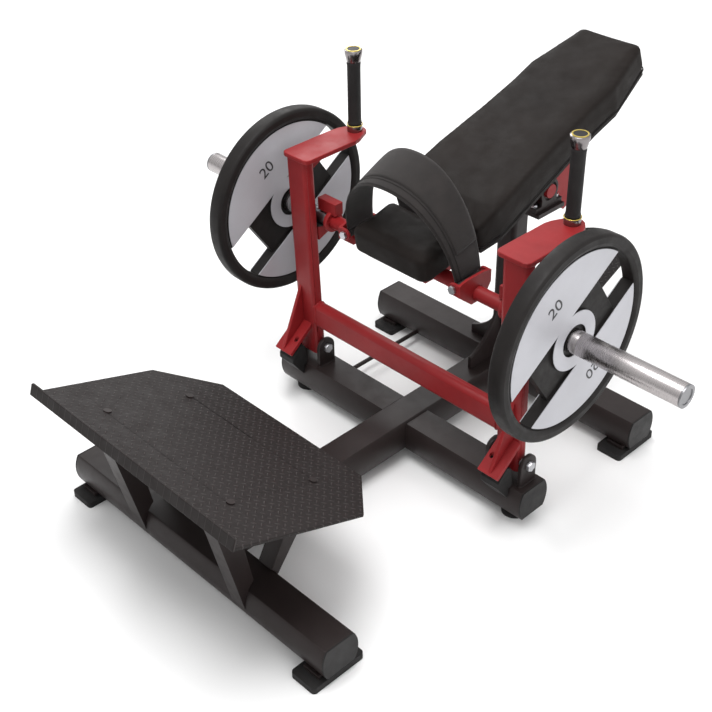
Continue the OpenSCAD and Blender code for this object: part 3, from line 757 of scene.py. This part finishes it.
# at the foot and the head of the upright
for name, z, radius in (("weld_upright", 91, 2.2), ("weld_bearing_plate", 471, 2.0)):
    ring = rect_ring(-25.5, 25.5, 299.5, 350.5, z, 10)
    tube_along(name, ring, radius * K, "frame", "base")
PROP = Matrix.Translation(Vector((0, -6, 135)) * K) @ Matrix.Rotation(math.radians(1.8), 4, "X")
for side, sx in (("right", 1), ("left", -1)):
    ring = []
    for p in rect_ring(-14, 14, 52, 114, 0, 12):
        ring.append(PROP @ Vector((sx * 260.5 * K, p.x, p.y)))
    tube_along("weld_cross_" + side, ring, 2.0 * K, "red", "props")
    for x in (245, 330):
        xa, xb = sx * x, sx * (x + 9)
        lo, hi = min(xa, xb), max(xa, xb)
        ring = rect_ring(lo - 0.5, hi + 0.5, -29.5, 17.5, 90.6, 3)
        tube_along("weld_ear_%s_%d" % (side, x), ring, 1.6 * K, "frame", "base")

# ---------------------------------------------------------------- disc numerals

DISC_X, DISC_Y, DISC_Z = 366, 20, 450      # inner face and centre of the right disc


def numerals(name, text, size, radius, turn, face_x, facing, body):
    """Raised generic numerals on the silver face, reading outwards from the hub."""
    cu = bpy.data.curves.new(name, "FONT")
    cu.body = text
    cu.size = size * K
    cu.align_x = "CENTER"
    cu.align_y = "CENTER"
    cu.extrude = 0.35 * K
    tmp = bpy.data.objects.new(name + "_curve", cu)
    bpy.context.scene.collection.objects.link(tmp)
    bpy.context.view_layer.update()
    me = bpy.data.meshes.new_from_object(tmp.evaluated_get(bpy.context.evaluated_depsgraph_get()))
    bpy.data.objects.remove(tmp)
    # text lies in its own XY plane: X to the reader's right, Y up, Z towards the reader
    zax = Vector((facing, 0, 0))
    yax = Vector((0, math.cos(turn), math.sin(turn)))
    xax = yax.cross(zax)
    m = Matrix((xax, yax, zax)).transposed().to_4x4()
    m.translation = (Vector((face_x, DISC_Y, DISC_Z)) + yax * radius) * K
    me.transform(m)
    new_object(name, me, "ink", body)


for side, sx in (("right", 1), ("left", -1)):
    outer, inner = sx * (DISC_X + 32.6), sx * (DISC_X + 3.4)
    for label, fx, facing in (("outer", outer, sx), ("inner", inner, -sx)):
        for k, ang in enumerate((124, 304)):
            name = "disc_mark_%s_%s_%d" % (side, label, k)
            numerals(name, "20", 38, 118, math.radians(ang), fx, facing, "disc_" + side)

# ---------------------------------------------------------------- stage, light and camera

floor_me = bpy.data.meshes.new("studio_floor")
bm = bmesh.new()
bmesh.ops.create_grid(bm, x_segments=1, y_segments=1, size=14)
bm.to_mesh(floor_me)
bm.free()
floor = bpy.data.objects.new("studio_floor", floor_me)
bpy.context.scene.collection.objects.link(floor)
fl = Mat("studio_floor", (0.86, 0.86, 0.86), 0.9, spec=0.1)
fl.vary(fl.noise(0.4, 2.0, 0.5), 0.985, 1.01)
floor.data.materials.append(fl.m)

world = bpy.data.worlds.new("studio")
bpy.context.scene.world = world
world.use_nodes = True
wt = world.node_tree
sky_pos = wt.nodes.new("ShaderNodeTexCoord")
sky_xyz = wt.nodes.new("ShaderNodeSeparateXYZ")
sky_ramp = wt.nodes.new("ShaderNodeValToRGB")
wt.links.new(sky_pos.outputs["Generated"], sky_xyz.inputs["Vector"])
wt.links.new(sky_xyz.outputs["Z"], sky_ramp.inputs["Fac"])
wt.links.new(sky_ramp.outputs["Color"], wt.nodes["Background"].inputs["Color"])
# dimmer round the horizon than overhead, so that level faces read lighter than upright ones
low_stop, high_stop = sky_ramp.color_ramp.elements[0], sky_ramp.color_ramp.elements[1]
for stop, place, grey in ((low_stop, 0.0, 0.55), (high_stop, 0.75, 1.0)):
    stop.position = place
    stop.color = (grey, grey, grey, 1)
wt.nodes["Background"].inputs["Strength"].default_value = 1.0


def area(name, loc, target, size, power):
    li = bpy.data.lights.new(name, "AREA")
    li.energy = power
    li.size = size
    o = bpy.data.objects.new(name, li)
    o.location = loc
    o.rotation_euler = (Vector(target) - Vector(loc)).to_track_quat("-Z", "Y").to_euler()
    bpy.context.scene.collection.objects.link(o)


area("key", (0.2, -0.6, 3.8), (0, 0.1, 0.4), 1.8, 88)
area("rim", (-2.6, 1.6, 2.6), (0, 0, 0.4), 1.6, 42)
area("fill", (3.4, 0.4, 1.8), (0, 0, 0.4), 2.2, 26)

CAM_PLACE = (1.48, -1.5558, 1.7472)        # metres, before FIT_SCALE
CAM_LENS = 63.4                            # millimetres, for a sensor 36 wide
az, el, roll = math.radians(46.46), math.radians(35.25), math.radians(-1.13)
fwd = Vector((-math.sin(az) * math.cos(el), math.cos(az) * math.cos(el), -math.sin(el)))
right = Vector((math.cos(az), math.sin(az), 0))
up = right.cross(fwd)
rx = math.cos(roll) * right + math.sin(roll) * up
uy = -math.sin(roll) * right + math.cos(roll) * up
cam_data = bpy.data.cameras.new("camera")
cam_data.lens = CAM_LENS
cam_data.sensor_width = 36
cam = bpy.data.objects.new("camera", cam_data)
bpy.context.scene.collection.objects.link(cam)
cm = Matrix((rx, uy, -fwd)).transposed().to_4x4()
cm.translation = Vector(CAM_PLACE) * FIT_SCALE
cam.matrix_world = cm
bpy.context.scene.camera = cam
bpy.context.scene.view_settings.view_transform = "Standard"
